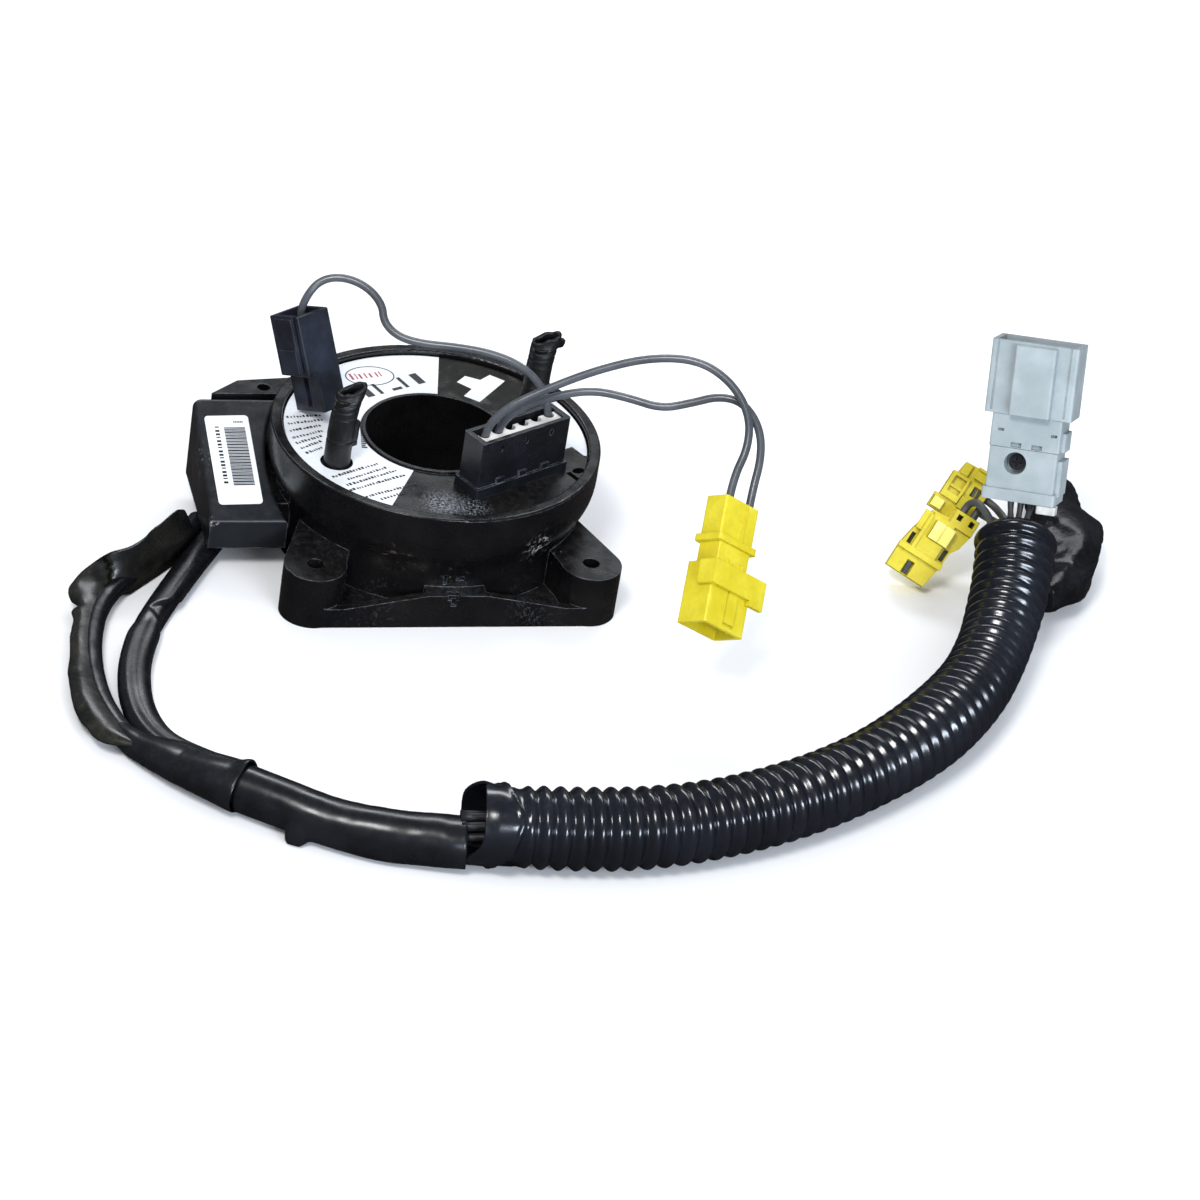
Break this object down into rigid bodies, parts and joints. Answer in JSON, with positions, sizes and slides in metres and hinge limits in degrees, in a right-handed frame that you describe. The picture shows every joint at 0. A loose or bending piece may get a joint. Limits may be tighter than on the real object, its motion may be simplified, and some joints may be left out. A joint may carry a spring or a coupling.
{
  "type": "steering clock spring",
  "caption": "Steering column clock spring: a rotor with a spiral cable in a flanged drum, with horn and airbag leads and a column harness in corrugated conduit.",
  "frame": {"origin": "on the axis of the steering-shaft bore, at the height of the plane that the base stands on, midway between the four ear holes", "axes": "+Z along the shaft towards the steering wheel, -Y towards the front pair of mounting ears, +X to the right of the ears, towards the harness plug"},
  "size_m": [0.3277, 0.2277, 0.0859],
  "materials": {
    "housing_black": "moulded black, slightly dusty and scuffed",
    "rotor_black": "moulded black satin",
    "cover_grey": "moulded dark grey",
    "connector_black": "moulded black, satin sheen",
    "natural_nylon": "natural white",
    "label_paper": "printed film label",
    "ribbon_film": "clear film over flat copper",
    "tinned_terminal": "tinned",
    "copper_alloy": "plated contacts",
    "shrink_tape": "black tape, crumpled",
    "wire_grey": "dark grey insulation",
    "wire_light": "grey insulation",
    "sleeve_black": "glossy black film, creased",
    "conduit_black": "glossy black corrugated",
    "srs_yellow": "moulded yellow",
    "srs_pale": "moulded pale yellow",
    "plug_grey": "moulded light grey",
    "clip_clear": "translucent natural"
  },
  "bodies": {
    "housing": {"stator_housing": "housing_black", "bottom_cover": "rotor_black", "ribbon_cable": "ribbon_film", "side_cover": "cover_grey", "side_case": "housing_black", "case_terminals": "tinned_terminal", "side_label": "label_paper", "sleeve_outer": "sleeve_black", "sleeve_inner": "sleeve_black", "trunk_sleeve": "sleeve_black", "split_conduit": "conduit_black", "conduit_wires": "wire_grey", "main_plug_cap": "plug_grey", "main_plug_holder": "plug_grey", "main_plug_hood": "plug_grey", "main_plug_pins": "tinned_terminal", "plug_screw": "tinned_terminal", "plug_clip": "clip_clear", "main_plug_wires": "wire_grey", "srs_plug_a": "srs_yellow", "srs_terminals_a": "tinned_terminal", "srs_wires_a": "wire_light", "srs_plug_b": "srs_yellow", "srs_terminals_b": "tinned_terminal", "srs_wires_b": "wire_light", "taped_branch": "shrink_tape"},
    "rotor": {"rotor_disc": "rotor_black", "lower_rotor": "rotor_black", "top_label": "label_paper", "peg_sleeve_front": "shrink_tape", "peg_sleeve_rear": "shrink_tape", "rotor_connector": "connector_black", "terminal_retainer": "natural_nylon", "rotor_terminals": "tinned_terminal", "horn_plug": "connector_black", "horn_terminal": "copper_alloy", "horn_wire": "wire_grey", "airbag_plug": "srs_yellow", "airbag_shroud": "srs_yellow", "airbag_pins": "copper_alloy", "airbag_wire_1": "wire_grey", "airbag_wire_2": "wire_grey"},
    "airbag_lock": {"airbag_lock": "srs_pale"},
    "srs_lock_a": {"srs_lock_a": "srs_pale"},
    "srs_lock_b": {"srs_lock_b": "srs_pale"}
  },
  "joints": [
    {"name": "rotor_spin", "type": "hinge", "parent": "housing", "child": "rotor", "pos_m": [0, 0, 0], "axis": [0, 0, 1], "range_deg": [-900, 900]},
    {"name": "airbag_lock_slide", "type": "slide", "parent": "rotor", "child": "airbag_lock", "axis": [0.254, 0.708, 0.659], "range_m": [0, 0.003]},
    {"name": "srs_lock_a_press", "type": "slide", "parent": "housing", "child": "srs_lock_a", "axis": [0.2629, 0.7956, -0.5458], "range_m": [0, 0.0016]},
    {"name": "srs_lock_b_press", "type": "slide", "parent": "housing", "child": "srs_lock_b", "axis": [0.2629, 0.7956, -0.5458], "range_m": [0, 0.0016]}
  ]
}
